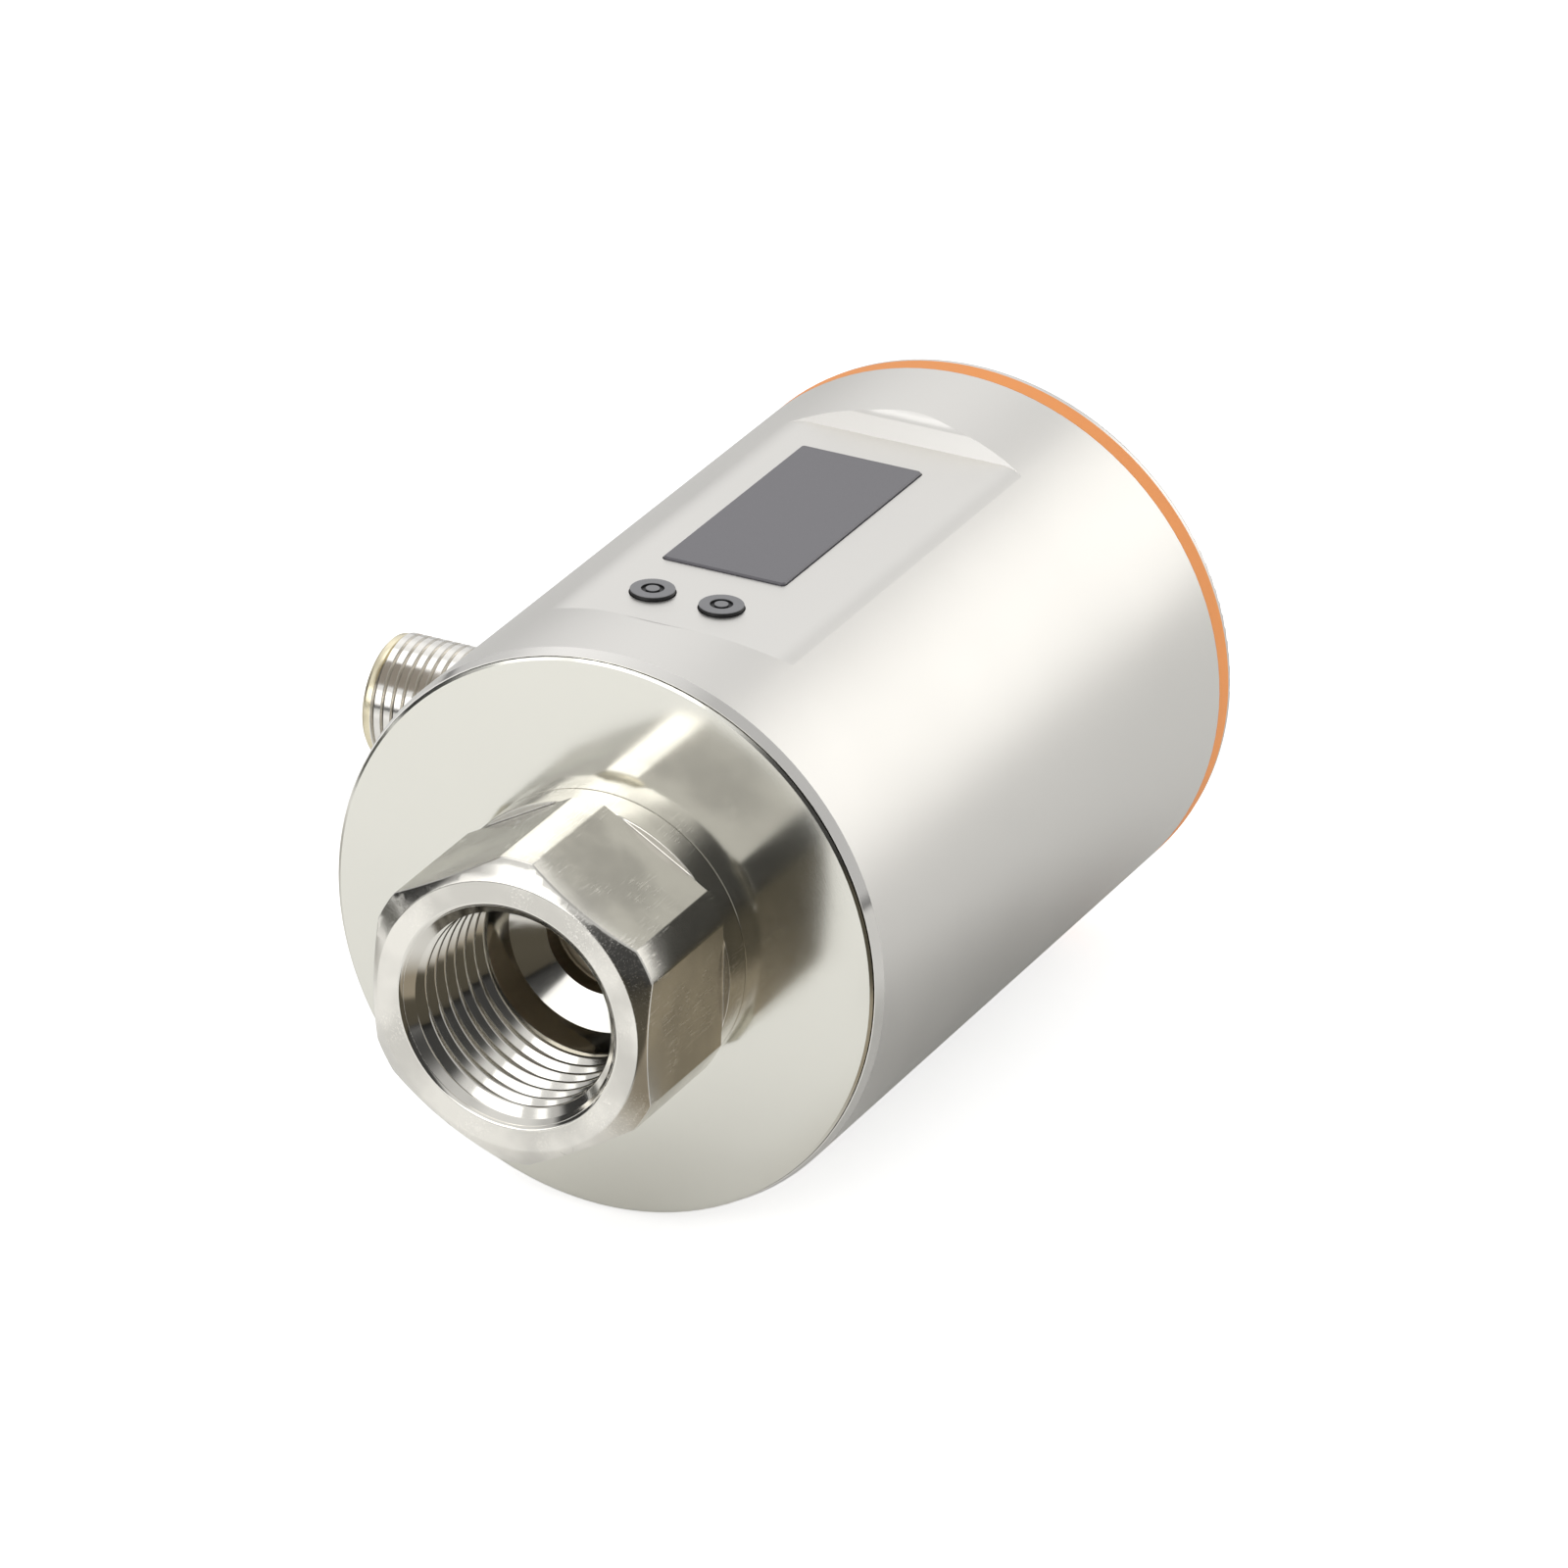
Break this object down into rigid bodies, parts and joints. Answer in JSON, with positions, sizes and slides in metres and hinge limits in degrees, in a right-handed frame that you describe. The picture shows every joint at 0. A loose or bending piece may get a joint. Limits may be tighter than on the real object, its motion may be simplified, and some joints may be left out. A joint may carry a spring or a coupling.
{
  "type": "electromagnetic flow meter",
  "caption": "Compact in-line electromagnetic flow meter: steel cylinder body with display, push buttons, threaded hexagon pipe fittings and a side cable connector.",
  "frame": {"origin": "centre of the inlet fitting's outer face, on the pipe axis", "axes": "+X along the pipe with the flow, +Z square out of the display panel, +Y along the cable connector"},
  "size_m": [0.11, 0.0673, 0.054],
  "materials": {
    "satin_steel": "bead blasted and brushed stainless steel with a soft sheen",
    "turned_steel": "fine turned stainless steel, bright with faint tool marks",
    "accent_plastic": "orange moulded plastic",
    "seal_rubber": "black elastomer",
    "liner_plastic": "tan engineering plastic",
    "electrode_steel": "fine ground stainless steel",
    "soft_iron": "machined soft iron",
    "copper_wire": "enamelled copper wire",
    "frame_plastic": "black moulded plastic",
    "board_laminate": "green circuit board laminate",
    "chip_resin": "black moulded resin",
    "screw_steel": "zinc plated steel",
    "window_pane": "grey tinted clear plastic with a low gloss",
    "display_glass": "dark display glass",
    "button_plastic": "dark grey moulded plastic",
    "connector_nickel": "bright nickel plated brass",
    "contact_gold": "gold plated contacts"
  },
  "bodies": {
    "housing": {"housing_shell": "satin_steel", "front_plate": "turned_steel", "front_plate_seal": "seal_rubber", "rear_cap": "satin_steel", "rear_cap_seal": "seal_rubber", "accent_ring": "accent_plastic", "inlet_fitting": "turned_steel", "outlet_fitting": "turned_steel", "inlet_retaining_ring": "screw_steel", "outlet_retaining_ring": "screw_steel", "inlet_tube_seal": "seal_rubber", "outlet_tube_seal": "seal_rubber", "measuring_tube": "liner_plastic", "electrode_left": "electrode_steel", "electrode_right": "electrode_steel", "electrode_nut_left": "electrode_steel", "electrode_nut_right": "electrode_steel", "electrode_seal_left": "seal_rubber", "electrode_seal_right": "seal_rubber", "temperature_probe": "electrode_steel", "pole_upper": "soft_iron", "pole_lower": "soft_iron", "coil_bobbin_upper": "frame_plastic", "coil_bobbin_lower": "frame_plastic", "coil_winding_upper": "copper_wire", "coil_winding_lower": "copper_wire", "magnetic_yoke": "soft_iron", "inner_frame": "frame_plastic", "display_board": "board_laminate", "main_board": "board_laminate", "display_board_screws": "screw_steel", "main_board_screws": "screw_steel", "processor_chip": "chip_resin", "measuring_chip": "chip_resin", "power_inductor": "chip_resin", "display_module": "display_glass", "display_carrier": "frame_plastic", "display_window": "window_pane", "window_gasket": "seal_rubber", "switch_left": "chip_resin", "switch_right": "chip_resin", "connector_shell": "connector_nickel", "connector_insert": "frame_plastic", "connector_pins": "contact_gold", "connector_seal": "seal_rubber"},
    "button_left": {"button_left": "button_plastic", "switch_plunger_left": "button_plastic"},
    "button_right": {"button_right": "button_plastic", "switch_plunger_right": "button_plastic"}
  },
  "joints": [
    {"name": "button_left_press", "type": "slide", "parent": "housing", "child": "button_left", "axis": [0, 0, -1], "range_m": [0, 0.00035], "stiffness_N_per_m": 800},
    {"name": "button_right_press", "type": "slide", "parent": "housing", "child": "button_right", "axis": [0, 0, -1], "range_m": [0, 0.00035], "stiffness_N_per_m": 800}
  ]
}
